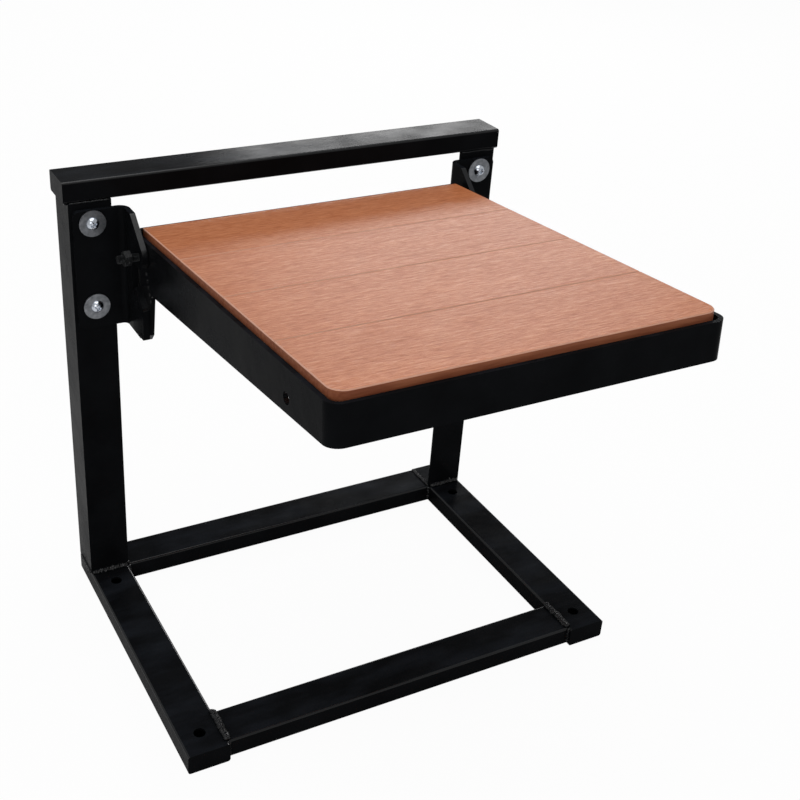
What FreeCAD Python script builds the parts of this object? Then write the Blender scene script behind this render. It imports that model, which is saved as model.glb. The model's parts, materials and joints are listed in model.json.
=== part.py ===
import FreeCAD, Part
import math
import os

os.makedirs("parts", exist_ok=True)

Vector = FreeCAD.Vector

# Fold-up seat of wood planks in a steel rim, hinged to a welded floor stand.
# Millimetres. +Z is up, +Y points to the back, +X to the right, seen from the front.
# The origin is on the floor, in the middle of the four floor bolt holes.

# Stand
stand_width = 450.0
stand_depth = 320.0
stand_height = 450.0
top_tube_overhang = 4.0
front_tube_setback = 4.0

# Equal angle of the uprights
upright_side = 40.0
upright_leg = 4.0
upright_root_round = 5.0
upright_toe_round = 2.0

# Flat tube of the base, the cross members and the top
flat_tube_width = 40.0
flat_tube_height = 20.0
flat_tube_wall = 2.0
flat_tube_corner = 2.5
end_plate_thickness = 2.0
end_plate_corner = 2.5

# Floor bolt holes
floor_hole_diameter = 11.0
floor_hole_from_back = 61.0
floor_hole_pitch = 235.0

# Wall brackets, bent from plate
bracket_plate = 5.0
bracket_height = 116.0
bracket_below_top_tube = 7.0
bracket_bend_radius = 5.0
bracket_corner = 6.0
bracket_edge_to_hole = 17.5
bracket_hole_to_flange = 29.0
bracket_hole_diameter = 6.6
upper_hole_below_top = 12.0
bracket_hole_pitch = 82.0

# Hinge lobe and stop edge of the bracket, measured from the hinge axis
hinge_from_back = 84.5
hinge_below_bracket_top = 33.2
lobe_radius = 11.7
lobe_slope = 41.0
lobe_plateau_round = 3.0
notch_reach = 19.0
stop_edge_reach = 1.0
stop_shoulder_drop = 42.0
stop_round = 2.0

# Bracket fasteners
screw_diameter = 6.0
screw_length = 20.0
screw_head_diameter = 12.4
screw_head_height = 4.4
screw_head_chamfer = 2.4
washer_diameter = 25.0
washer_thickness = 1.6
rivet_nut_diameter = 9.0
rivet_nut_bulge = 12.0
rivet_nut_length = 14.0

# Hinge bolt, nut and washer
hinge_bolt_diameter = 8.0
hinge_bolt_length = 30.0
hinge_bolt_head = 13.0
hinge_bolt_head_height = 5.3
hinge_nut_thickness = 6.5
hinge_nut_from_end = 5.5
hinge_washer_diameter = 18.0
hinge_washer_thickness = 1.0

# Seat planks
plank_count = 4
plank_width = 94.0
plank_thickness = 12.0
plank_joint = 0.6
plank_bevel = 0.8
plank_front_corner = 13.0
seat_tilt = 4.4

# Seat rim
rim_wall = 4.0
rim_plank_gap = 1.0
rim_below_planks = 6.7
rim_height_front = 33.0
rim_height_rear = 49.0
rim_corner = 12.0
rim_rear_round = 4.0
rim_side_past_bar = 6.0
rear_bar_below_planks = 1.5
rim_hole_diameter = 10.0
rim_hole_from_hinge = 297.0
rim_hole_below_hinge = 10.3
hinge_below_planks = 20.3
hinge_from_rear_plank = 17.2

# Tails of the rim and the stop blocks on them, measured from the hinge axis
tail_top_reach = 11.3
tail_foot_reach = 1.5
tail_foot_back = 12.0
tail_drop = 83.5
tail_chamfer = 7.0
tail_round = 5.0
stop_block_width = 6.0
stop_block_ramp_top = 33.5
stop_block_ramp_back = 15.5
stop_block_nose_drop = 50.0
stop_block_nose_reach = 7.0
stop_block_foot_drop = 81.5
stop_block_foot_reach = 6.5
stop_block_round = 5.0

# Bars under the planks
support_leg = 25.0
support_thickness = 3.0
support_from_middle = 95.0
plank_screw_diameter = 4.0
plank_screw_length = 11.0
plank_screw_head = 8.0
plank_screw_head_height = 3.0
plank_screw_hole_diameter = 4.4

# Fits
running_clearance = 0.05
screw_clearance = 0.1
stop_clearance = 0.2
hinge_head_clearance = 0.2

# Places that follow from the sizes above
back_y = floor_hole_from_back + floor_hole_pitch / 2
upright_front_y = back_y - upright_side
front_y = back_y - stand_depth
upright_x = (stand_width - upright_side) / 2
base_tube_x = (stand_width - flat_tube_width) / 2
top_tube_underside = stand_height - flat_tube_height
bracket_top = top_tube_underside - bracket_below_top_tube
bracket_bottom = bracket_top - bracket_height
bracket_hole_x = upright_x
flange_outer_x = bracket_hole_x - bracket_hole_to_flange
flange_inner_x = flange_outer_x - bracket_plate
hinge_y = back_y - hinge_from_back
hinge_z = bracket_top - hinge_below_bracket_top
rim_outer_x = flange_inner_x - hinge_washer_thickness
rim_inner_x = rim_outer_x - rim_wall
plank_length = 2 * (rim_inner_x - rim_plank_gap)
seat_depth = plank_count * plank_width + (plank_count - 1) * plank_joint
plank_top = hinge_below_planks
plank_underside = plank_top - plank_thickness
rim_top = plank_top - rim_below_planks
rim_rear = -hinge_from_rear_plank - rim_plank_gap - rim_wall
rim_front = seat_depth - hinge_from_rear_plank + rim_plank_gap + rim_wall
rim_side_rear = rim_rear - rim_side_past_bar


def on_plane(plane, u, v, w):
    """Point (u, v) of a drawing plane, lifted by w along the third axis."""
    if plane == "XY":
        return Vector(u, v, w)
    if plane == "XZ":
        return Vector(u, w, v)
    return Vector(w, u, v)


def rounded_corner(before, corner, after, radius):
    """Start, middle and end of the arc that rounds one corner of an outline."""
    towards_before = (before - corner).normalize()
    towards_after = (after - corner).normalize()
    half_angle = towards_before.getAngle(towards_after) / 2
    bisector = (towards_before + towards_after).normalize()
    reach = radius / math.tan(half_angle)
    centre = corner + bisector * (radius / math.sin(half_angle))
    return corner + towards_before * reach, centre - bisector * radius, corner + towards_after * reach


def outline(plane, corners, level):
    """Closed wire through corners (u, v) or (u, v, rounding radius)."""
    points = [on_plane(plane, corner[0], corner[1], level) for corner in corners]
    stretches = []
    for index, corner in enumerate(corners):
        radius = corner[2] if len(corner) > 2 else 0.0
        here = points[index]
        if radius > 0:
            after = points[(index + 1) % len(points)]
            stretches.append(rounded_corner(points[index - 1], here, after, radius))
        else:
            stretches.append((here, None, here))
    edges = []
    for index, (start, middle, end) in enumerate(stretches):
        if middle is not None:
            edges.append(Part.Arc(start, middle, end).toShape())
        next_start = stretches[(index + 1) % len(stretches)][0]
        if end.distanceToPoint(next_start) > 1e-6:
            edges.append(Part.LineSegment(end, next_start).toShape())
    return Part.Wire(edges)


def prism(plane, corners, start, end):
    """Outline drawn at start and pulled to end along the plane's third axis."""
    face = Part.Face(outline(plane, corners, start))
    return face.extrude(on_plane(plane, 0, 0, end - start))


def rectangle(u_low, u_high, v_low, v_high, radius=0.0):
    return [
        (u_low, v_low, radius),
        (u_high, v_low, radius),
        (u_high, v_high, radius),
        (u_low, v_high, radius),
    ]


def tube(plane, u_low, u_high, v_low, v_high, wall, radius, start, end):
    """Rectangular hollow tube with rounded outer edges, open at both ends."""
    outside = prism(plane, rectangle(u_low, u_high, v_low, v_high, radius), start, end)
    hollow = rectangle(u_low + wall, u_high - wall, v_low + wall, v_high - wall)
    return outside.cut(prism(plane, hollow, start, end))


def rod(x, y, z, direction, diameter, length):
    return Part.makeCylinder(diameter / 2, length, Vector(x, y, z), direction)


def turned(points, base, direction):
    """Solid of revolution: points are (radius, distance along the axis) from base."""
    solid = Part.Face(outline("XZ", points, 0)).revolve(Vector(0, 0, 0), Vector(0, 0, 1), 360)
    solid.Placement = FreeCAD.Placement(base, FreeCAD.Rotation(Vector(0, 0, 1), direction))
    return solid


def hexagon_corners(across_flats):
    corner_radius = across_flats / math.sqrt(3)
    angles = [math.radians(60 * step) for step in range(6)]
    return [(corner_radius * math.cos(angle), corner_radius * math.sin(angle)) for angle in angles]


def hexagon(x, y, z, across_flats, length):
    """Hexagonal bar along +X from (x, y, z), with a flat on top."""
    corners = [(y + across, z + up) for across, up in hexagon_corners(across_flats)]
    return prism("YZ", corners, x, x + length)


def mirrored(shape):
    return shape.mirror(Vector(0, 0, 0), Vector(1, 0, 0))


def both_sides(shape):
    return [shape, mirrored(shape)]


def seat_y(forward):
    return hinge_y - forward


def tilted(shape):
    """A seat piece drawn level with the hinge axis, turned to its rest angle."""
    turned_shape = shape.copy()
    turned_shape.rotate(Vector(0, hinge_y, hinge_z), Vector(-1, 0, 0), seat_tilt)
    return turned_shape


def upright():
    """Angle on end on the base tube: one leg faces the front, the other the outer side."""
    inner = upright_x - upright_side / 2
    outer = upright_x + upright_side / 2
    corners = [
        (inner, upright_front_y),
        (outer, upright_front_y),
        (outer, back_y),
        (outer - upright_leg, back_y, upright_toe_round),
        (outer - upright_leg, upright_front_y + upright_leg, upright_root_round),
        (inner, upright_front_y + upright_leg, upright_toe_round),
    ]
    body = prism("XY", corners, flat_tube_height, top_tube_underside)
    for z in bracket_hole_heights():
        hole = rod(
            bracket_hole_x, upright_front_y, z, Vector(0, 1, 0), rivet_nut_diameter, upright_leg
        )
        body = body.cut(hole)
    return body


def top_tube():
    half = stand_width / 2 + top_tube_overhang - end_plate_thickness
    return tube(
        "YZ", upright_front_y, back_y, top_tube_underside, stand_height,
        flat_tube_wall, flat_tube_corner, -half, half,
    )


def top_tube_end_plate():
    end = stand_width / 2 + top_tube_overhang
    corners = rectangle(upright_front_y, back_y, top_tube_underside, stand_height, end_plate_corner)
    return prism("YZ", corners, end - end_plate_thickness, end)


def base_tube():
    x_low = base_tube_x - flat_tube_width / 2
    x_high = base_tube_x + flat_tube_width / 2
    body = tube(
        "XZ", x_low, x_high, 0, flat_tube_height,
        flat_tube_wall, flat_tube_corner, front_y + end_plate_thickness, back_y - end_plate_thickness,
    )
    for y in (-floor_hole_pitch / 2, floor_hole_pitch / 2):
        body = body.cut(rod(base_tube_x, y, 0, Vector(0, 0, 1), floor_hole_diameter, flat_tube_height))
    return body


def base_tube_end_plate(front):
    x_low = base_tube_x - flat_tube_width / 2
    x_high = base_tube_x + flat_tube_width / 2
    corners = rectangle(x_low, x_high, 0, flat_tube_height, end_plate_corner)
    return prism("XZ", corners, front, front + end_plate_thickness)


def front_cross_tube():
    half = stand_width / 2 - flat_tube_width
    y_low = front_y + front_tube_setback
    return tube(
        "YZ", y_low, y_low + flat_tube_width, 0, flat_tube_height,
        flat_tube_wall, flat_tube_corner, -half, half,
    )


def rear_cross_tube():
    half = stand_width / 2 - flat_tube_width
    return tube(
        "YZ", upright_front_y, upright_front_y + flat_tube_width, 0, flat_tube_height,
        flat_tube_wall, flat_tube_corner, -half, half,
    )


def bracket_hole_heights():
    upper = bracket_top - upper_hole_below_top
    return [upper, upper - bracket_hole_pitch]


def bent_plate():
    """Plate bent to an L: one leg on the upright, the other standing forward beside the seat."""
    outer_radius = bracket_bend_radius + bracket_plate
    leg_end = bracket_hole_x + bracket_edge_to_hole
    leg_front = upright_front_y - bracket_plate
    flange_front = hinge_y - 2 * lobe_radius
    corners = [
        (leg_end, upright_front_y),
        (flange_inner_x, upright_front_y, outer_radius),
        (flange_inner_x, flange_front),
        (flange_outer_x, flange_front),
        (flange_outer_x, leg_front, bracket_bend_radius),
        (leg_end, leg_front),
    ]
    return prism("XY", corners, bracket_bottom, bracket_top)


def flange_outline():
    """Side view of the bracket: a lobe round the hinge, a notch under it, and the stop edge."""
    slope = math.radians(lobe_slope)
    plateau = (hinge_below_bracket_top * math.cos(slope) - lobe_radius) / math.sin(slope)
    lobe_tip = lobe_radius * (1 + math.cos(slope)) / math.sin(slope)
    shoulder_foot = stop_shoulder_drop + notch_reach - stop_edge_reach
    return [
        (upright_front_y, bracket_top),
        (hinge_y + plateau, bracket_top, lobe_plateau_round),
        (hinge_y - lobe_tip, hinge_z - lobe_radius, lobe_radius),
        (hinge_y + notch_reach, hinge_z - lobe_radius, lobe_plateau_round),
        (hinge_y + notch_reach, hinge_z - stop_shoulder_drop, stop_round),
        (hinge_y + stop_edge_reach, hinge_z - shoulder_foot, stop_round),
        (hinge_y + stop_edge_reach, bracket_bottom, stop_round),
        (upright_front_y, bracket_bottom),
    ]


def wall_bracket():
    bracket = bent_plate().common(prism("YZ", flange_outline(), flange_inner_x, stand_width / 2))
    leg_end = bracket_hole_x + bracket_edge_to_hole
    leg_outline = [
        (flange_inner_x, bracket_bottom),
        (leg_end, bracket_bottom, bracket_corner),
        (leg_end, bracket_top, bracket_corner),
        (flange_inner_x, bracket_top),
    ]
    bracket = bracket.common(prism("XZ", leg_outline, front_y, upright_front_y))
    for z in bracket_hole_heights():
        hole = rod(
            bracket_hole_x, upright_front_y - bracket_plate, z,
            Vector(0, 1, 0), bracket_hole_diameter, bracket_plate,
        )
        bracket = bracket.cut(hole)
    bore = hinge_bolt_diameter + 2 * running_clearance
    return bracket.cut(rod(flange_inner_x, hinge_y, hinge_z, Vector(1, 0, 0), bore, bracket_plate))


def washer_face_y():
    return upright_front_y - bracket_plate - washer_thickness


def bracket_washer(z):
    disc = rod(bracket_hole_x, washer_face_y(), z, Vector(0, 1, 0), washer_diameter, washer_thickness)
    hole = screw_diameter + 4 * screw_clearance
    return disc.cut(rod(bracket_hole_x, washer_face_y(), z, Vector(0, 1, 0), hole, washer_thickness))


def bracket_screw(z):
    """Pan head screw along +Y, its head to the front."""
    head_radius = screw_head_diameter / 2
    points = [
        (0, -screw_length),
        (screw_diameter / 2, -screw_length),
        (screw_diameter / 2, 0),
        (head_radius, 0),
        (head_radius, screw_head_height - screw_head_chamfer),
        (head_radius - screw_head_chamfer, screw_head_height),
        (0, screw_head_height),
    ]
    return turned(points, Vector(bracket_hole_x, washer_face_y(), z), Vector(0, -1, 0))


def rivet_nut(z):
    """Threaded sleeve in the upright's front leg, swelled behind the leg to grip it."""
    bore = screw_diameter / 2 + screw_clearance
    points = [
        (bore, 0),
        (rivet_nut_diameter / 2, 0),
        (rivet_nut_diameter / 2, upright_leg),
        (rivet_nut_bulge / 2, upright_leg),
        (rivet_nut_diameter / 2, rivet_nut_length),
        (bore, rivet_nut_length),
    ]
    return turned(points, Vector(bracket_hole_x, upright_front_y, z), Vector(0, 1, 0))


def hinge_bolt():
    """Hexagon bolt: head inside the rim, shank outwards through rim, washer and bracket."""
    head_face = rim_inner_x - hinge_head_clearance
    shank = rod(head_face, hinge_y, hinge_z, Vector(1, 0, 0), hinge_bolt_diameter, hinge_bolt_length)
    head = hexagon(
        head_face - hinge_bolt_head_height, hinge_y, hinge_z, hinge_bolt_head, hinge_bolt_head_height
    )
    return head.fuse(shank).removeSplitter()


def hinge_nut():
    nut_end = rim_inner_x - hinge_head_clearance + hinge_bolt_length - hinge_nut_from_end
    nut_start = nut_end - hinge_nut_thickness
    nut = hexagon(nut_start, hinge_y, hinge_z, hinge_bolt_head, hinge_nut_thickness)
    bore = hinge_bolt_diameter + 2 * running_clearance
    return nut.cut(rod(nut_start, hinge_y, hinge_z, Vector(1, 0, 0), bore, hinge_nut_thickness))


def hinge_washer():
    bore = hinge_bolt_diameter + 2 * running_clearance
    thickness = hinge_washer_thickness
    disc = rod(rim_outer_x, hinge_y, hinge_z, Vector(1, 0, 0), hinge_washer_diameter, thickness)
    return disc.cut(rod(rim_outer_x, hinge_y, hinge_z, Vector(1, 0, 0), bore, thickness))


def rim_height_at(forward):
    """Height of the rim's side at a distance in front of the hinge; it tapers to the front."""
    share = (forward - rim_rear) / (rim_front - rim_rear)
    return rim_height_rear + share * (rim_height_front - rim_height_rear)


def rim_side_outline():
    """Side view of the rim: tapered side, and the tail under the hinge."""
    top = hinge_z + rim_top
    return [
        (seat_y(rim_side_rear), top, rim_rear_round),
        (seat_y(rim_front), top),
        (seat_y(rim_front), top - rim_height_front),
        (seat_y(tail_top_reach), top - rim_height_at(tail_top_reach), rim_rear_round),
        (seat_y(tail_foot_reach), hinge_z - tail_drop + tail_chamfer),
        (seat_y(tail_foot_reach - tail_chamfer), hinge_z - tail_drop),
        (seat_y(-tail_foot_back), hinge_z - tail_drop, tail_round / 2),
        (seat_y(rim_side_rear), hinge_z - stop_shoulder_drop, tail_round),
    ]


def bent_strip():
    """Flat strip bent to a U round the front of the planks."""
    rear = seat_y(rim_side_rear)
    front = seat_y(rim_front)
    inner_corner = rim_corner - rim_wall
    corners = [
        (-rim_outer_x, rear),
        (-rim_outer_x, front, rim_corner),
        (rim_outer_x, front, rim_corner),
        (rim_outer_x, rear),
        (rim_inner_x, rear),
        (rim_inner_x, front + rim_wall, inner_corner),
        (-rim_inner_x, front + rim_wall, inner_corner),
        (-rim_inner_x, rear),
    ]
    return prism("XY", corners, hinge_z - tail_drop, hinge_z + rim_top)


def seat_rim():
    rim = bent_strip().common(prism("YZ", rim_side_outline(), -rim_outer_x, rim_outer_x))
    across = 2 * rim_outer_x
    bore = hinge_bolt_diameter + 2 * running_clearance
    rim = rim.cut(rod(-rim_outer_x, hinge_y, hinge_z, Vector(1, 0, 0), bore, across))
    hole_y = seat_y(rim_hole_from_hinge)
    hole_z = hinge_z - rim_hole_below_hinge
    rim = rim.cut(rod(-rim_outer_x, hole_y, hole_z, Vector(1, 0, 0), rim_hole_diameter, across))
    return tilted(rim)


def rear_cross_bar():
    """Flat bar on edge behind the planks, a little lower than their tops."""
    bottom = hinge_z + rim_top - rim_height_front
    top = hinge_z + plank_top - rear_bar_below_planks
    corners = rectangle(seat_y(rim_rear), seat_y(rim_rear + rim_wall), bottom, top)
    return tilted(prism("YZ", corners, -rim_inner_x, rim_inner_x))


def support_bar():
    """Angle bar from the rear cross bar to the rim's front, with its flat leg under the planks."""
    flat_top = hinge_z + plank_underside
    inner = support_from_middle - support_leg / 2
    corners = [
        (inner, flat_top),
        (inner + support_leg, flat_top),
        (inner + support_leg, flat_top - support_thickness, support_thickness / 2),
        (inner + support_thickness, flat_top - support_thickness, support_thickness),
        (inner + support_thickness, flat_top - support_leg, support_thickness / 2),
        (inner, flat_top - support_leg),
    ]
    bar = prism("XZ", corners, seat_y(rim_front - rim_wall), seat_y(rim_rear + rim_wall))
    for forward in plank_screw_places():
        hole = rod(
            support_from_middle, seat_y(forward), flat_top - support_thickness,
            Vector(0, 0, 1), plank_screw_hole_diameter, support_thickness,
        )
        bar = bar.cut(hole)
    return tilted(bar)


def stop_block():
    """Block on the outer face of the tail. At rest its back lies on the bracket's stop edge."""
    back = stop_edge_reach - stop_clearance
    shoulder = notch_reach + stop_shoulder_drop - stop_clearance * math.sqrt(2)
    corners = [
        (hinge_y + stop_block_ramp_back, hinge_z - stop_block_ramp_top, stop_round),
        (hinge_y - stop_block_nose_reach, hinge_z - stop_block_nose_drop, stop_block_round),
        (hinge_y - stop_block_foot_reach, hinge_z - stop_block_foot_drop, stop_round),
        (hinge_y + back, hinge_z - stop_block_foot_drop),
        (hinge_y + back, hinge_z - shoulder + back),
        (hinge_y + stop_block_ramp_back, hinge_z - shoulder + stop_block_ramp_back),
    ]
    return prism("YZ", corners, rim_outer_x, rim_outer_x + stop_block_width)


def plank_rear(index):
    return index * (plank_width + plank_joint) - hinge_from_rear_plank


def plank_screw_places():
    return [plank_rear(index) + plank_width / 2 for index in range(plank_count)]


def plank(index):
    """One plank, its top edges bevelled; the front one has rounded front corners."""
    rear = plank_rear(index)
    front_corner = plank_front_corner if index == plank_count - 1 else 0.0
    half = plank_length / 2
    corners = [
        (-half, seat_y(rear)),
        (-half, seat_y(rear + plank_width), front_corner),
        (half, seat_y(rear + plank_width), front_corner),
        (half, seat_y(rear)),
    ]
    bottom = hinge_z + plank_underside
    top = hinge_z + plank_top
    board = prism("XY", corners, bottom, top)
    top_edges = [edge for edge in board.Edges if edge.BoundBox.ZMin > top - 1e-6]
    board = board.makeChamfer(plank_bevel, top_edges)
    pilot_depth = plank_screw_length - support_thickness + screw_clearance
    pilot_diameter = plank_screw_diameter + 2 * running_clearance
    forward = plank_screw_places()[index]
    for x in (-support_from_middle, support_from_middle):
        board = board.cut(rod(x, seat_y(forward), bottom, Vector(0, 0, 1), pilot_diameter, pilot_depth))
    return tilted(board)


def plank_screw(forward):
    """Hexagon head screw, driven up through the support bar into the plank."""
    head_top = hinge_z + plank_underside - support_thickness
    x = support_from_middle
    y = seat_y(forward)
    corners = [(x + across, y + along) for across, along in hexagon_corners(plank_screw_head)]
    head = prism("XY", corners, head_top - plank_screw_head_height, head_top)
    shank = rod(x, y, head_top, Vector(0, 0, 1), plank_screw_diameter, plank_screw_length)
    return tilted(head.fuse(shank))


def mirrored_pair(name, shape):
    return {"left_" + name: mirrored(shape), "right_" + name: shape}


def stand_nodes():
    nodes = {}
    nodes.update(mirrored_pair("upright", upright()))
    nodes["top_tube"] = top_tube()
    nodes["top_tube_end_plates"] = both_sides(top_tube_end_plate())
    nodes.update(mirrored_pair("base_tube", base_tube()))
    base_plates = []
    for front in (front_y, back_y - end_plate_thickness):
        base_plates += both_sides(base_tube_end_plate(front))
    nodes["base_tube_end_plates"] = base_plates
    nodes["front_cross_tube"] = front_cross_tube()
    nodes["rear_cross_tube"] = rear_cross_tube()
    nodes.update(mirrored_pair("wall_bracket", wall_bracket()))
    fasteners = {
        "bracket_screws": bracket_screw,
        "bracket_washers": bracket_washer,
        "rivet_nuts": rivet_nut,
    }
    for name, make in fasteners.items():
        solids = []
        for z in bracket_hole_heights():
            solids += both_sides(make(z))
        nodes[name] = solids
    nodes.update(mirrored_pair("hinge_bolt", hinge_bolt()))
    nodes["hinge_nuts"] = both_sides(hinge_nut())
    nodes["hinge_washers"] = both_sides(hinge_washer())
    return nodes


def seat_nodes():
    nodes = {"seat_rim": seat_rim(), "rear_cross_bar": rear_cross_bar()}
    nodes.update(mirrored_pair("support_bar", support_bar()))
    nodes.update(mirrored_pair("stop_block", stop_block()))
    for index, name in enumerate(("rear_plank", "second_plank", "third_plank", "front_plank")):
        nodes[name] = plank(index)
    screws = []
    for forward in plank_screw_places():
        screws += both_sides(plank_screw(forward))
    nodes["plank_screws"] = screws
    return nodes


def export(name, shape):
    solids = shape if isinstance(shape, list) else [shape]
    whole = Part.makeCompound([solid for item in solids for solid in item.Solids])
    if len(whole.Solids) == 1:
        whole = whole.Solids[0]
    whole.exportStep("parts/" + name + ".step")


for node_name, node_shape in {**stand_nodes(), **seat_nodes()}.items():
    export(node_name, node_shape)
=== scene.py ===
import json
import math
import random

import bmesh
import bpy
from mathutils import Matrix, Vector, noise


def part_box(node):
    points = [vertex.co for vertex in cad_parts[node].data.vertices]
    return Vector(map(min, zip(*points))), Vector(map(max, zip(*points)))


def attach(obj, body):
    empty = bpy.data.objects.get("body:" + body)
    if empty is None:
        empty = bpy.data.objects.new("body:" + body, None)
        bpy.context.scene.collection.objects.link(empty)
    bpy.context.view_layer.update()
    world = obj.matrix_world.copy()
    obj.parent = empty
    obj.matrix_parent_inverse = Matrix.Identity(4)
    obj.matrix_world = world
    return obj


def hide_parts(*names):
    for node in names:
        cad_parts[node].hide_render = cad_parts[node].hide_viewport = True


MM = 0.001

# Camera, fitted to the edges of the stand and the planks in the photograph
IMAGE_SIDE_PX = 800
CAMERA_AXIS_PX = (330.0, 375.0)
CAMERA_FOCAL_PX = 1228.05
CAMERA_AZIMUTH = 28.036
CAMERA_ELEVATION = 28.911
CAMERA_ROLL = 2.718
CAMERA_PLACE = (-0.49237, -0.87197, 0.8323)
SENSOR_WIDTH_MM = 36.0

# Stage and light
FLOOR_SIDE = 14.0
FLOOR_COLOUR = (0.86, 0.86, 0.86)
FLOOR_GLOW_SHARE = 0.96
AMBIENT_STRENGTH = 0.42

# Lamps: name, place, point aimed at, size across and along, watts
LAMPS = (
    ("overhead_softbox", (-0.2, 0.1, 2.4), (0, 0, 0.3), (2.2, 1.8), 21.0),
    ("back_softbox", (1.7, 2.5, 1.35), (0, 0.1, 0.4), (1.5, 0.45), 20.0),
    ("front_softbox", (-1.7, -1.9, 1.4), (0, 0, 0.3), (1.4, 1.4), 8.0),
)

# Largest angle in degrees between faces that are shaded as one
WELD_SMOOTH_ANGLE = 60
SCREW_SMOOTH_ANGLE = 28
HEXAGON_SMOOTH_ANGLE = 25

# Weld beads: their cross sections, the waviness of their skin, and their radii by place
WELD_STEP = 0.35 * MM
WELD_SIDES = 14
WELD_RIPPLE = 1.7 * MM
WELD_RIPPLE_SHARE = 0.2
WELD_TROUGH_SHARE = 0.86
WELD_TIP_SHARE = 0.35
WELD_DRIFT_SHARE = 0.22
WELD_DRIFT_SCALE = 260
WELD_LUMP_SHARE = 0.3
WELD_LUMP_SCALE = 420
WELD_INSET = 1.2 * MM
WELD_RADII = {
    "upright_foot": 3.7 * MM,
    "foot_outer": 1.5 * MM,
    "foot_inner": 2.2 * MM,
    "rear_corner": 2.2 * MM,
    "rear_inner": 2.4 * MM,
    "front_cross": 3.6 * MM,
    "front_cross_front": 2.0 * MM,
    "front_cross_back": 2.0 * MM,
    "top_front": 0.9 * MM,
    "top_outer": 2.4 * MM,
    "top_inner": 2.0 * MM,
}
UPRIGHT_LEG = 4.0 * MM

# Weld tacks on the tails of the rim, from the first to the last below the hinge
TAIL_TACKS = 5
TAIL_TACK_RADIUS = 0.9 * MM
TAIL_TACK_LENGTH = 3.0 * MM
TAIL_TACK_LEAN = 1.0 * MM
FIRST_TACK_FORWARD = 2.0 * MM
FIRST_TACK_DROP = 15.0 * MM
TACKS_RUN_FORWARD = 10.0 * MM
TACKS_RUN_DOWN = 23.0 * MM

# Screws of the wall brackets
SCREW_HEAD_RADIUS = 6.2 * MM
SCREW_HEAD_HEIGHT = 4.4 * MM
SCREW_RADIUS = 3.0 * MM
SCREW_TURNS = (0.35, 1.1, 0.8, 0.15)
SCREW_POINTS = 96
SCREW_DOME_STEPS = 44
SCREW_UNDERSIDE_SHARE = 0.985
SCREW_MIDDLE_RADIUS = 0.02 * MM
RECESS_REACH = 3.0 * MM
RECESS_HALF_WIDTH = 0.62 * MM
RECESS_FLARE = 0.25
RECESS_DEPTH = 2.3 * MM
RECESS_END_SHARE = 0.15
RECESS_SLOPE = 1.6

# Hinge bolts and nuts
HINGE_RADIUS = 4.0 * MM
HINGE_FLATS = 13.0 * MM
HINGE_HEAD_HEIGHT = 5.3 * MM
HINGE_NUT_THICKNESS = 6.5 * MM
HINGE_NUT_CLEARANCE = 0.05 * MM
COUNTERSINK = 0.6 * MM
HEAD_DIMPLE_DEPTH = 0.25 * MM
HEAD_DIMPLE_SHARE = 0.3
HEXAGON_FACE_SHARE = 0.47
HEXAGON_CONE_SHARE = 0.49
HEXAGON_CONE_ANGLE = 30
HEXAGON_POINTS = 72
MERGE_DISTANCE = 0.001 * MM
THREAD_PITCH = 1.25 * MM
THREAD_DEPTH = 0.7 * MM
THREAD_LENGTH = 20.0 * MM
THREAD_POINTS = 40
THREAD_STEPS_PER_TURN = 8

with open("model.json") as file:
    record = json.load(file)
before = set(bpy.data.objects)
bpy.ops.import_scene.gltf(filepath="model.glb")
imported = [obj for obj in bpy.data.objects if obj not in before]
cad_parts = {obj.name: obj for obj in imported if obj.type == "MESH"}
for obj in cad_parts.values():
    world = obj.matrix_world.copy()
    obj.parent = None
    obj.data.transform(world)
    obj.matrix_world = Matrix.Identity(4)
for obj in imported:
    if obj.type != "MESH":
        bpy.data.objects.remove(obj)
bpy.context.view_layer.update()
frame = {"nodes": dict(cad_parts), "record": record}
random.seed(7)
noise.seed_set(7)


# Material helpers

def add_node(tree, kind, **values):
    """New shader node; values set its sockets by name, or its own properties."""
    made = tree.nodes.new(kind)
    for name, value in values.items():
        socket = made.inputs.get(name.replace("_", " "))
        if socket is not None:
            socket.default_value = value
        else:
            setattr(made, name, value)
    return made


def new_material(name):
    material = bpy.data.materials.new(name)
    material.use_nodes = True
    tree = material.node_tree
    shader = tree.nodes["Principled BSDF"]
    return material, tree, shader


def stretched_noise(tree, scale, size, detail=4.0, roughness=0.55, distortion=0.0):
    """Noise in the part's own coordinates, stretched by scale along X, Y and Z."""
    place = add_node(tree, "ShaderNodeTexCoord")
    mapping = add_node(tree, "ShaderNodeMapping", Scale=scale)
    tree.links.new(place.outputs["Object"], mapping.inputs["Vector"])
    made = add_node(tree, "ShaderNodeTexNoise", Scale=size, Detail=detail, Roughness=roughness)
    made.inputs["Distortion"].default_value = distortion
    tree.links.new(mapping.outputs["Vector"], made.inputs["Vector"])
    return made.outputs["Fac"]


def ramp(tree, source, stops):
    """Colour ramp through stops of (position, colour)."""
    made = add_node(tree, "ShaderNodeValToRGB")
    points = made.color_ramp.elements
    while len(points) < len(stops):
        points.new(0.5)
    for point, (position, colour) in zip(points, stops):
        point.position = position
        point.color = (*colour, 1.0)
    tree.links.new(source, made.inputs["Fac"])
    return made.outputs["Color"]


def value_range(tree, source, low, high, to_low, to_high):
    made = add_node(tree, "ShaderNodeMapRange")
    made.inputs["From Min"].default_value = low
    made.inputs["From Max"].default_value = high
    made.inputs["To Min"].default_value = to_low
    made.inputs["To Max"].default_value = to_high
    tree.links.new(source, made.inputs["Value"])
    return made.outputs["Result"]


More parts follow.
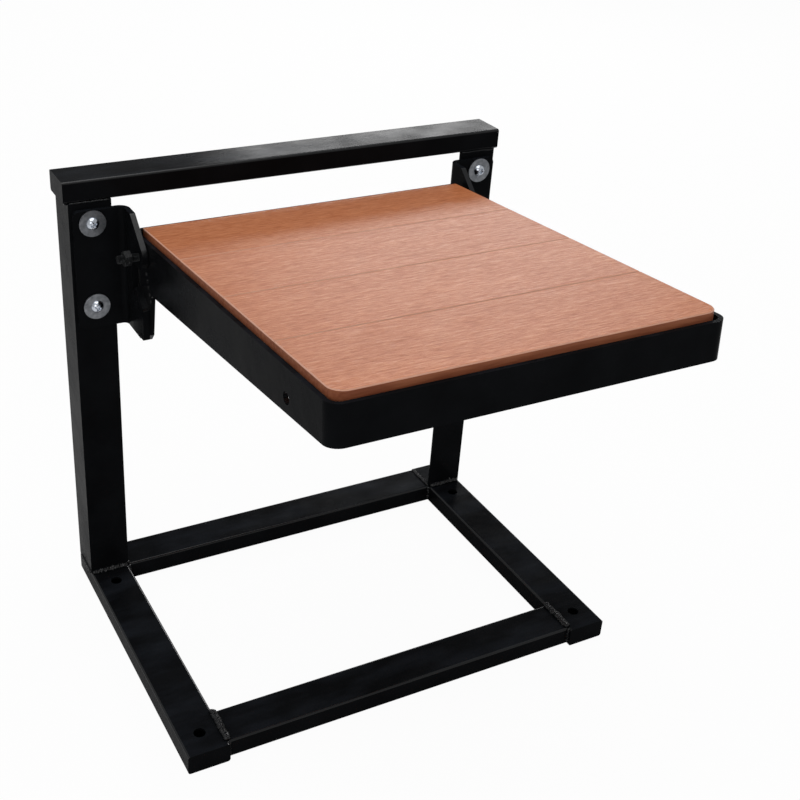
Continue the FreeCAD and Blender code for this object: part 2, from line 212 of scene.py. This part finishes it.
def mix_colours(tree, factor, first, second, blend="MIX"):
    """Mix two colours; each, and the factor, may be a socket or a constant."""
    made = add_node(tree, "ShaderNodeMix", data_type="RGBA", blend_type=blend)
    colour_sockets = [socket for socket in made.inputs if socket.type == "RGBA"]
    for socket, value in zip((made.inputs[0], *colour_sockets), (factor, first, second)):
        if isinstance(value, bpy.types.NodeSocket):
            tree.links.new(value, socket)
        elif isinstance(value, tuple):
            socket.default_value = (*value, 1.0)
        else:
            socket.default_value = value
    return next(socket for socket in made.outputs if socket.type == "RGBA")


def arithmetic(tree, operation, first, second):
    """Math node on two inputs, each a socket or a constant."""
    made = add_node(tree, "ShaderNodeMath", operation=operation)
    for socket, value in zip(made.inputs, (first, second)):
        if isinstance(value, bpy.types.NodeSocket):
            tree.links.new(value, socket)
        else:
            socket.default_value = value
    return made.outputs[0]


def surface_normal(tree):
    """The X, Y and Z of the surface's normal, in the part's own frame."""
    place = add_node(tree, "ShaderNodeTexCoord")
    parts = add_node(tree, "ShaderNodeSeparateXYZ")
    tree.links.new(place.outputs["Normal"], parts.inputs["Vector"])
    return parts.outputs


def facing_up(tree):
    """How much the surface faces up: 1 on a top face, 0 on a side."""
    return surface_normal(tree)["Z"]


def arris_share(tree):
    """1 where the surface leans between flat and upright, as on a rounded arris, 0 on flat faces."""
    normal = surface_normal(tree)
    sizes = [arithmetic(tree, "ABSOLUTE", normal[axis], 0.0) for axis in "XYZ"]
    level_size = arithmetic(tree, "MAXIMUM", sizes[0], sizes[1])
    largest = arithmetic(tree, "MAXIMUM", level_size, sizes[2])
    off_axis = value_range(tree, largest, 0.95, 0.99, 1.0, 0.0)
    not_upright = value_range(tree, sizes[2], 0.15, 0.3, 0.0, 1.0)
    return arithmetic(tree, "MULTIPLY", off_axis, not_upright)


def bump(tree, shader, layers):
    """Bumps on top of each other: layers of (height source, strength, depth in metres)."""
    below = None
    for source, strength, depth in layers:
        made = add_node(tree, "ShaderNodeBump", Strength=strength, Distance=depth)
        tree.links.new(source, made.inputs["Height"])
        if below is not None:
            tree.links.new(below, made.inputs["Normal"])
        below = made.outputs["Normal"]
    tree.links.new(below, shader.inputs["Normal"])


# Materials

def black_enamel(name, lumps):
    """Brushed-on black enamel with dust and a painted bluish sheen in streaks on the faces that look
    up, glossiest on rounded arrises.
    """
    deep_black = (0.0035, 0.0037, 0.0042)
    soft_black = (0.006, 0.0065, 0.0075)
    dust_and_sheen_grey = (0.013, 0.015, 0.019)
    flat_gloss = 0.012
    arris_gloss = 0.4
    material, tree, shader = new_material(name)
    cloud = stretched_noise(tree, (1, 1, 1), 22.0)
    # Painted sheen, partly dust: a bluish grey laid in streaks along X on the faces that look up
    facing = value_range(tree, facing_up(tree), 0.6, 1.0, 0.0, 1.0)
    streaks = stretched_noise(tree, (1, 3, 3), 14.0, detail=6.0)
    patches = value_range(tree, streaks, 0.42, 0.7, 0.05, 1.0)
    dust_and_sheen_share = arithmetic(tree, "MULTIPLY", facing, patches)
    paint = ramp(tree, cloud, ((0.3, deep_black), (0.7, soft_black)))
    tree.links.new(mix_colours(tree, dust_and_sheen_share, paint, dust_and_sheen_grey), shader.inputs["Base Color"])
    tree.links.new(value_range(tree, cloud, 0.3, 0.7, 0.16, 0.3), shader.inputs["Roughness"])
    gloss = value_range(tree, arris_share(tree), 0.0, 1.0, flat_gloss, arris_gloss)
    tree.links.new(gloss, shader.inputs["Specular IOR Level"])
    waves = stretched_noise(tree, (0.35, 1, 1), 34.0, detail=2.0)
    peel = stretched_noise(tree, (1, 1, 1), 420.0, detail=2.0)
    bump(tree, shader, ((waves, 0.5 * lumps, 0.8 * MM), (peel, 0.3 * lumps, 0.15 * MM)))
    return material


def worn_enamel():
    """Black enamel on the hinge bolts and nuts, rubbed through to grey steel in small patches."""
    paint = (0.006, 0.0065, 0.007)
    bare_steel = (0.14, 0.145, 0.15)
    material, tree, shader = new_material("worn_black_enamel")
    patches = stretched_noise(tree, (1, 1, 1), 900.0, detail=5.0, roughness=0.7)
    bare_share = value_range(tree, patches, 0.56, 0.68, 0.0, 1.0)
    tree.links.new(mix_colours(tree, bare_share, paint, bare_steel), shader.inputs["Base Color"])
    tree.links.new(value_range(tree, patches, 0.4, 0.62, 0.3, 0.45), shader.inputs["Roughness"])
    shader.inputs["Specular IOR Level"].default_value = 0.1
    bump(tree, shader, ((patches, 0.3, 0.06 * MM),))
    return material


def wood_composite():
    """Planks of wood flour composite: fine grain along X, sides darkened with painted shade, a painted
    highlight on the top arrises.
    """
    painted_shade_side_dark = (0.24, 0.068, 0.03)
    painted_shade_side_light = (0.35, 0.115, 0.052)
    painted_highlight_arris = (0.88, 0.6, 0.48)
    material, tree, shader = new_material("wood_planks")
    fine = stretched_noise(tree, (0.16, 1, 1), 620.0, detail=5.0, roughness=0.65, distortion=0.2)
    coarse = stretched_noise(tree, (0.1, 1, 1), 300.0, detail=3.0, distortion=0.3)
    broad = stretched_noise(tree, (0.35, 1, 1), 9.0, detail=3.0)
    up = facing_up(tree)
    fine_part = arithmetic(tree, "MULTIPLY", fine, 0.7)
    coarse_part = arithmetic(tree, "MULTIPLY", coarse, 0.3)
    grain = arithmetic(tree, "ADD", fine_part, coarse_part)
    top = ramp(tree, grain, (
        (0.34, (0.38, 0.108, 0.036)),
        (0.5, (0.5, 0.162, 0.06)),
        (0.66, (0.6, 0.235, 0.1)),
    ))
    tone = ramp(tree, broad, ((0.35, (0.93, 0.9, 0.88)), (0.65, (1.04, 1.04, 1.04))))
    top = mix_colours(tree, 1.0, top, tone, "MULTIPLY")
    # Painted shade: the upright sides get a darker brown than the top
    side = ramp(tree, coarse, ((0.35, painted_shade_side_dark), (0.65, painted_shade_side_light)))
    # Painted highlight: a pale colour on the sloped bevel faces between the top and the sides
    below_top = value_range(tree, up, 0.5, 0.95, 1.0, 0.0)
    above_side = value_range(tree, up, 0.35, 0.6, 0.0, 1.0)
    arris = arithmetic(tree, "MULTIPLY", below_top, above_side)
    colour = mix_colours(tree, value_range(tree, up, 0.3, 0.9, 0.0, 1.0), side, top)
    colour = mix_colours(tree, arithmetic(tree, "MULTIPLY", arris, 0.9), colour, painted_highlight_arris)
    tree.links.new(colour, shader.inputs["Base Color"])
    tree.links.new(value_range(tree, grain, 0.35, 0.65, 0.5, 0.34), shader.inputs["Roughness"])
    shader.inputs["Specular IOR Level"].default_value = 0.2
    bump(tree, shader, ((coarse, 0.5, 0.35 * MM), (fine, 0.75, 0.3 * MM)))
    return material


def zinc_plate(name, dark, light, rough, smooth):
    """Zinc plated steel, clouded between two tones and two roughnesses, and lightly scratched."""
    material, tree, shader = new_material(name)
    cloud = stretched_noise(tree, (1, 1, 1), 260.0)
    scratches = stretched_noise(tree, (1, 0.1, 0.4), 1500.0, detail=2.0)
    tree.links.new(ramp(tree, cloud, ((0.3, dark), (0.7, light))), shader.inputs["Base Color"])
    tree.links.new(value_range(tree, cloud, 0.3, 0.7, rough, smooth), shader.inputs["Roughness"])
    shader.inputs["Metallic"].default_value = 1.0
    bump(tree, shader, ((scratches, 0.25, 0.05 * MM),))
    return material


def floor_material():
    """Pale floor with the object's soft shadow, brightened for the camera, clear from below."""
    material, tree, shader = new_material("pale_floor")
    shader.inputs["Base Color"].default_value = (*FLOOR_COLOUR, 1.0)
    shader.inputs["Roughness"].default_value = 0.9
    shader.inputs["Specular IOR Level"].default_value = 0.1
    glow = add_node(tree, "ShaderNodeEmission", Color=(1, 1, 1, 1), Strength=1.0)
    mixed = add_node(tree, "ShaderNodeMixShader")
    glow_share = arithmetic(tree, "MULTIPLY", sees_background(tree), FLOOR_GLOW_SHARE)
    tree.links.new(glow_share, mixed.inputs["Fac"])
    tree.links.new(shader.outputs["BSDF"], mixed.inputs[1])
    tree.links.new(glow.outputs["Emission"], mixed.inputs[2])
    clear = add_node(tree, "ShaderNodeBsdfTransparent")
    side = add_node(tree, "ShaderNodeNewGeometry")
    both = add_node(tree, "ShaderNodeMixShader")
    tree.links.new(side.outputs["Backfacing"], both.inputs["Fac"])
    tree.links.new(mixed.outputs["Shader"], both.inputs[1])
    tree.links.new(clear.outputs["BSDF"], both.inputs[2])
    tree.links.new(both.outputs["Shader"], tree.nodes["Material Output"].inputs["Surface"])
    return material


def sees_background(tree):
    """1 for rays from the camera, straight or through glass, 0 for light and reflections."""
    path = add_node(tree, "ShaderNodeLightPath").outputs
    return arithmetic(tree, "MAXIMUM", path["Is Camera Ray"], path["Is Transmission Ray"])


# Mesh helpers

def finish_piece(bm, name, material, body, smooth_angle):
    """Object made of bm, smooth up to smooth_angle in degrees, riding on a body."""
    bmesh.ops.recalc_face_normals(bm, faces=bm.faces)
    mesh = bpy.data.meshes.new(name)
    bm.to_mesh(mesh)
    bm.free()
    piece = bpy.data.objects.new(name, mesh)
    bpy.context.scene.collection.objects.link(piece)
    mesh.materials.append(material)
    mesh.shade_smooth()
    mesh.set_sharp_from_angle(angle=math.radians(smooth_angle))
    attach(piece, body)
    return piece


def skin_rings(bm, rings, caps=(True, True)):
    """Quads between rings of points, with the first and last ring closed by a cap."""
    loops = [[bm.verts.new(point) for point in ring] for ring in rings]
    count = len(loops[0])
    for lower, upper in zip(loops, loops[1:]):
        for index in range(count):
            after = (index + 1) % count
            bm.faces.new((lower[index], lower[after], upper[after], upper[index]))
    if caps[0]:
        bm.faces.new(loops[0])
    if caps[1]:
        bm.faces.new(loops[-1])


def axis_frame(axis):
    """Two directions square to axis."""
    axis = axis.normalized()
    helper = Vector((0, 0, 1)) if abs(axis.z) < 0.9 else Vector((0, 1, 0))
    across = axis.cross(helper).normalized()
    return across, axis.cross(across).normalized()


def weld_thickness(share, ripples):
    """Thickness of a bead at a share of its length: tapered to its ends, rippled between them."""
    end_taper = math.sqrt(max(0.0, 1 - (2 * share - 1) ** 10))
    ripple = math.sqrt(1 - (ripples % 1.0) ** 2)
    taper = WELD_TIP_SHARE + (1 - WELD_TIP_SHARE) * end_taper
    return taper * (WELD_TROUGH_SHARE + WELD_RIPPLE_SHARE * ripple)


def weld_bead(name, start, end, radius, body):
    """Rippled, uneven bead of weld metal from start to end."""
    start, end = Vector(start), Vector(end)
    along = end - start
    across, up = axis_frame(along)
    count = max(6, int(along.length / WELD_STEP))
    phase = random.random()
    rings = []
    for step in range(count + 1):
        share = step / count
        size = radius * weld_thickness(share, share * along.length / WELD_RIPPLE + phase)
        centre = start + along * share
        drift = noise.noise_vector(centre * WELD_DRIFT_SCALE) * radius * WELD_DRIFT_SHARE
        section = []
        for side in range(WELD_SIDES):
            angle = 2 * math.pi * side / WELD_SIDES
            out = across * math.cos(angle) + up * math.sin(angle)
            lump = 1 + WELD_LUMP_SHARE * noise.noise((centre + out * size) * WELD_LUMP_SCALE)
            section.append(centre + drift + out * size * lump)
        rings.append(section)
    bm = bmesh.new()
    skin_rings(bm, rings)
    piece = finish_piece(bm, name, MATERIALS["weld"], body, WELD_SMOOTH_ANGLE)


def ring(centre, across, up, axis, radius, height, count):
    """Ring of points; radius and height may be numbers or functions of the angle."""
    points = []
    for step in range(count):
        angle = 2 * math.pi * step / count
        size = radius(angle) if callable(radius) else radius
        tall = height(angle) if callable(height) else height
        points.append(
            centre + (across * math.cos(angle) + up * math.sin(angle)) * size + axis * tall
        )
    return points


def hexagon_radius(flats):
    """Radius of a hexagon's outline, as a function of the angle."""
    def radius(angle):
        corner = (angle + math.pi / 6) % (math.pi / 3) - math.pi / 6
        return flats / 2 / math.cos(corner)
    return radius


def chamfered_height(flats, height, direction):
    """Height of a hexagon's side, where a flat cone cuts its corners."""
    outline = hexagon_radius(flats)
    cone_radius = flats * HEXAGON_CONE_SHARE
    slope = math.tan(math.radians(HEXAGON_CONE_ANGLE))

    def tall(angle):
        return height - direction * max(0.0, outline(angle) - cone_radius) * slope
    return tall


def hexagon_rings(base, axis, flats, low, high, chamfer_low, chamfer_high):
    """Rings of a hexagon bar from low to high along axis, chamfered at the ends asked for."""
    across, up = axis_frame(axis)
    outline = hexagon_radius(flats)
    inner = flats * HEXAGON_FACE_SHARE
    count = HEXAGON_POINTS
    bottom = chamfered_height(flats, low, -1) if chamfer_low else low
    top = chamfered_height(flats, high, 1) if chamfer_high else high
    return [
        ring(base, across, up, axis, inner, low, count),
        ring(base, across, up, axis, outline, bottom, count),
        ring(base, across, up, axis, outline, top, count),
        ring(base, across, up, axis, inner, high, count),
    ]


def threaded_rings(base, axis, radius, low, high):
    """Rings of a screw thread along axis, from low to high, with its end chamfered."""
    across, up = axis_frame(axis)
    count = int((high - low) / THREAD_PITCH * THREAD_STEPS_PER_TURN)
    rings = []
    for step in range(count + 1):
        height = low + (high - low) * step / count

        def size(angle, height=height):
            turn = (height / THREAD_PITCH + angle / (2 * math.pi)) % 1.0
            valley = THREAD_DEPTH * abs(2 * turn - 1)
            chamfer = max(0.0, height - high + THREAD_DEPTH)
            return min(radius - valley, radius - chamfer)
        rings.append(ring(base, across, up, axis, size, height, THREAD_POINTS))
    return rings


# Fasteners

def cross_recess(x, y):
    """Depth of a cross recess at a point of a screw head, from 0 to 1."""
    along = max(abs(x), abs(y))
    beside = min(abs(x), abs(y))
    left = RECESS_REACH - along
    if left < 0 or beside > RECESS_HALF_WIDTH + RECESS_FLARE * left:
        return 0.0
    return min(1.0, left / RECESS_REACH * RECESS_SLOPE + RECESS_END_SHARE)


def pan_screw(bm, seat, axis, length, turn):
    """Pan head screw: domed head with a cross recess on seat, shank running the other way."""
    across, up = axis_frame(axis)
    sphere = (SCREW_HEAD_RADIUS ** 2 + SCREW_HEAD_HEIGHT ** 2) / (2 * SCREW_HEAD_HEIGHT)
    underside = SCREW_HEAD_RADIUS * SCREW_UNDERSIDE_SHARE
    rings = [
        ring(seat, across, up, axis, SCREW_RADIUS, -length, SCREW_POINTS),
        ring(seat, across, up, axis, SCREW_RADIUS, 0, SCREW_POINTS),
        ring(seat, across, up, axis, underside, 0, SCREW_POINTS),
    ]
    for step in range(SCREW_DOME_STEPS + 1):
        radius = max(SCREW_HEAD_RADIUS * (1 - step / SCREW_DOME_STEPS), SCREW_MIDDLE_RADIUS)
        dome = SCREW_HEAD_HEIGHT - sphere + math.sqrt(sphere ** 2 - radius ** 2)

        def tall(angle, radius=radius, dome=dome):
            spun = angle + turn
            depth = cross_recess(radius * math.cos(spun), radius * math.sin(spun))
            return dome - RECESS_DEPTH * depth
        height = max(dome, 0.0) if step == 0 else tall
        rings.append(ring(seat, across, up, axis, radius, height, SCREW_POINTS))
    skin_rings(bm, rings)


def bracket_screws():
    """The four screws of the wall brackets, each turned to a different angle."""
    low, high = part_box("bracket_screws")
    seat_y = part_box("bracket_washers")[0].y
    x = high.x - SCREW_HEAD_RADIUS
    heights = (low.z + SCREW_HEAD_RADIUS, high.z - SCREW_HEAD_RADIUS)
    to_front = Vector((0, -1, 0))
    places = [(side * x, seat_y, z) for side in (-1, 1) for z in heights]
    bm = bmesh.new()
    for place, turn in zip(places, SCREW_TURNS):
        pan_screw(bm, Vector(place), to_front, high.y - seat_y, turn)
    metal = MATERIALS["bright_zinc"]
    piece = finish_piece(bm, "bracket_pan_screws", metal, "stand", SCREW_SMOOTH_ANGLE)
    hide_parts("bracket_screws")


def hinge_centre():
    """Middle of the left hinge bolt; its Y and Z are those of the hinge axis."""
    low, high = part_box("left_hinge_bolt")
    return (low + high) / 2


def hinge_bolt(side, node_name):
    """Hinge bolt with a chamfered head, a plain shank and a thread towards its end."""
    low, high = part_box(node_name)
    axis = Vector((side, 0, 0))
    middle = (low + high) / 2
    inner = low.x if side > 0 else high.x
    tip = high.x if side > 0 else low.x
    base = Vector((inner, middle.y, middle.z))
    length = abs(tip - inner)
    thread_start = length - THREAD_LENGTH
    across, up = axis_frame(axis)
    dimple = HINGE_FLATS * HEAD_DIMPLE_SHARE
    rings = [ring(base, across, up, axis, dimple, HEAD_DIMPLE_DEPTH, HEXAGON_POINTS)]
    rings += hexagon_rings(base, axis, HINGE_FLATS, 0, HINGE_HEAD_HEIGHT, True, False)
    for height in (HINGE_HEAD_HEIGHT, thread_start):
        rings.append(ring(base, across, up, axis, HINGE_RADIUS, height, HEXAGON_POINTS))
    bm = bmesh.new()
    skin_rings(bm, rings)
    skin_rings(bm, threaded_rings(base, axis, HINGE_RADIUS, thread_start, length))
    steel = MATERIALS["painted_steel"]
    piece = finish_piece(bm, node_name + "_threaded", steel, "stand", HEXAGON_SMOOTH_ANGLE)
    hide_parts(node_name)


def hinge_nuts():
    """The two nuts on the hinge bolts, chamfered, with a countersunk bore."""
    low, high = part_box("hinge_nuts")
    hinge = hinge_centre()
    thickness = HINGE_NUT_THICKNESS
    bore = HINGE_RADIUS + HINGE_NUT_CLEARANCE
    mouth = HINGE_RADIUS + COUNTERSINK
    bm = bmesh.new()
    for side in (-1, 1):
        axis = Vector((side, 0, 0))
        base = Vector((side * (high.x - thickness), (low.y + high.y) / 2, hinge.z))
        across, up = axis_frame(axis)
        rings = [
            ring(base, across, up, axis, bore, COUNTERSINK, HEXAGON_POINTS),
            ring(base, across, up, axis, mouth, 0, HEXAGON_POINTS),
            *hexagon_rings(base, axis, HINGE_FLATS, 0, thickness, True, True),
            ring(base, across, up, axis, mouth, thickness, HEXAGON_POINTS),
            ring(base, across, up, axis, bore, thickness - COUNTERSINK, HEXAGON_POINTS),
        ]
        skin_rings(bm, rings + [rings[0]], caps=(False, False))
    bmesh.ops.remove_doubles(bm, verts=bm.verts, dist=MERGE_DISTANCE)
    steel = MATERIALS["painted_steel"]
    piece = finish_piece(bm, "hinge_chamfered_nuts", steel, "stand", HEXAGON_SMOOTH_ANGLE)
    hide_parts("hinge_nuts")


# Weld beads, placed by the boxes of the tubes that they join

def base_welds(side, upright, front_tube, base_top):
    """Runs of the beads round an upright's foot and between a base tube and the cross tubes."""
    edge = WELD_INSET
    inner = side * upright[0].x
    outer = side * upright[1].x
    seam_x = inner - side * edge / 2
    front_y = upright[0].y
    back_y = upright[1].y
    foot_y = front_y - edge / 2
    foot_z = base_top + edge / 2
    tube_front = front_tube[0].y
    tube_back = front_tube[1].y
    return (
        ("upright_foot", (inner + side * edge, foot_y, foot_z), (outer - side * edge, foot_y, foot_z)),
        ("foot_outer", (outer, front_y + 2 * edge, base_top), (outer, back_y - 3 * edge, base_top)),
        ("rear_corner", (inner, front_y + edge, base_top), (inner, back_y - edge, base_top)),
        ("rear_inner", (seam_x, foot_y, 2 * edge), (seam_x, foot_y, base_top)),
        ("front_cross", (inner, tube_front + edge, base_top), (inner, tube_back + edge, base_top)),
        ("front_cross_front", (inner, tube_front, 2 * edge), (inner, tube_front, base_top)),
        ("front_cross_back", (inner, tube_back, 2 * edge), (inner, tube_back, base_top)),
    )


def upright_welds(side, upright, top_underside, base_top):
    """Runs of the beads under the top tube and behind an upright's front leg."""
    edge = WELD_INSET
    inner = side * (upright[0].x + edge)
    outer = side * (upright[1].x - edge)
    side_x = side * (upright[1].x + edge / 3)
    corner_x = side * (upright[1].x - UPRIGHT_LEG)
    front_y = upright[0].y
    back_y = upright[1].y
    behind = front_y + UPRIGHT_LEG
    under = top_underside - edge / 3
    above = base_top + edge / 3
    return (
        ("top_front", (inner, front_y, under), (outer, front_y, under)),
        ("top_outer", (side_x, front_y + 2 * edge, under), (side_x, back_y - 2 * edge, under)),
        ("top_inner", (inner, behind, under), (corner_x, behind, under)),
        ("foot_inner", (inner, behind, above), (corner_x, behind, above)),
    )


def stand_welds():
    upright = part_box("right_upright")
    front_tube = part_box("front_cross_tube")
    base_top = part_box("right_base_tube")[1].z
    top_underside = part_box("top_tube")[0].z
    for side_name, side in (("left", -1), ("right", 1)):
        runs = base_welds(side, upright, front_tube, base_top)
        runs += upright_welds(side, upright, top_underside, base_top)
        for place, start, end in runs:
            name = side_name + "_" + place + "_weld"
            weld_bead(name, start, end, WELD_RADII[place], "stand")


def tail_welds():
    """Tacks down the front of each tail of the rim, between the hinge and the stop block."""
    rim_low, rim_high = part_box("seat_rim")
    hinge = hinge_centre()
    for side_name, x in (("left", rim_low.x), ("right", rim_high.x)):
        for index in range(TAIL_TACKS):
            share = index / (TAIL_TACKS - 1)
            y = hinge.y - FIRST_TACK_FORWARD - TACKS_RUN_FORWARD * share
            z = hinge.z - FIRST_TACK_DROP - TACKS_RUN_DOWN * share
            name = side_name + "_tail_tack_" + str(index + 1)
            end = (x, y - TAIL_TACK_LEAN, z - TAIL_TACK_LENGTH)
            weld_bead(name, (x, y, z), end, TAIL_TACK_RADIUS, "seat")


# Scene

def assign(node_names, material):
    for name in node_names:
        for slot in frame["nodes"][name].material_slots:
            slot.material = material


def give_cad_materials():
    slots = {}
    for part in frame["record"]["subparts"]:
        slots.setdefault(part["material_slot"], []).append(part["node"])
    assign(slots["black_enamel"], MATERIALS["enamel"])
    assign(slots["wood_planks"], MATERIALS["wood"])
    assign(slots["zinc_plate"], MATERIALS["zinc"])


def area_lamp(name, place, aim, size, watts):
    data = bpy.data.lights.new(name, "AREA")
    data.shape = "RECTANGLE"
    data.size, data.size_y = size
    data.energy = watts
    lamp = bpy.data.objects.new(name, data)
    bpy.context.scene.collection.objects.link(lamp)
    lamp.location = place
    lamp.rotation_euler = (Vector(aim) - Vector(place)).to_track_quat("-Z", "Y").to_euler()


def light_scene():
    """Three soft lamps, and a world that is white to the camera and dimmer as light."""
    for lamp in LAMPS:
        area_lamp(*lamp)
    world = bpy.data.worlds.new("studio")
    bpy.context.scene.world = world
    world.use_nodes = True
    tree = world.node_tree
    background = tree.nodes["Background"]
    background.inputs["Color"].default_value = (1, 1, 1, 1)
    strength = value_range(tree, sees_background(tree), 0, 1, AMBIENT_STRENGTH, 1.0)
    tree.links.new(strength, background.inputs["Strength"])


def make_floor():
    bm = bmesh.new()
    half = FLOOR_SIDE / 2
    corners = ((-half, -half), (half, -half), (half, half), (-half, half))
    bm.faces.new([bm.verts.new((x, y, 0)) for x, y in corners])
    mesh = bpy.data.meshes.new("floor")
    bm.to_mesh(mesh)
    bm.free()
    floor = bpy.data.objects.new("floor", mesh)
    bpy.context.scene.collection.objects.link(floor)
    mesh.materials.append(floor_material())


def make_camera():
    azimuth = math.radians(CAMERA_AZIMUTH)
    elevation = math.radians(CAMERA_ELEVATION)
    roll = math.radians(CAMERA_ROLL)
    forward = Vector((
        math.sin(azimuth) * math.cos(elevation),
        math.cos(azimuth) * math.cos(elevation),
        -math.sin(elevation),
    ))
    level = Vector((math.cos(azimuth), -math.sin(azimuth), 0))
    upright = level.cross(forward)
    right = level * math.cos(roll) + upright * math.sin(roll)
    up = upright * math.cos(roll) - level * math.sin(roll)
    data = bpy.data.cameras.new("photo_camera")
    data.sensor_width = SENSOR_WIDTH_MM
    data.lens = CAMERA_FOCAL_PX / IMAGE_SIDE_PX * SENSOR_WIDTH_MM
    data.shift_x = 0.5 - CAMERA_AXIS_PX[0] / IMAGE_SIDE_PX
    data.shift_y = CAMERA_AXIS_PX[1] / IMAGE_SIDE_PX - 0.5
    camera = bpy.data.objects.new("photo_camera", data)
    bpy.context.scene.collection.objects.link(camera)
    turn = Matrix((right, up, -forward)).transposed()
    camera.matrix_world = Matrix.Translation(CAMERA_PLACE) @ turn.to_4x4()
    bpy.context.scene.camera = camera
    bpy.context.scene.view_settings.view_transform = "Standard"


MATERIALS = {
    "enamel": black_enamel("black_enamel", 1.0),
    "weld": black_enamel("black_enamel_on_weld", 1.6),
    "painted_steel": worn_enamel(),
    "wood": wood_composite(),
    "zinc": zinc_plate("zinc_plate", (0.17, 0.18, 0.195), (0.29, 0.3, 0.32), 0.42, 0.26),
    "bright_zinc": zinc_plate("bright_zinc_plate", (0.5, 0.54, 0.6), (0.85, 0.9, 0.98), 0.28, 0.12),
}

give_cad_materials()
bracket_screws()
hinge_bolt(-1, "left_hinge_bolt")
hinge_bolt(1, "right_hinge_bolt")
hinge_nuts()
stand_welds()
tail_welds()
make_floor()
light_scene()
make_camera()
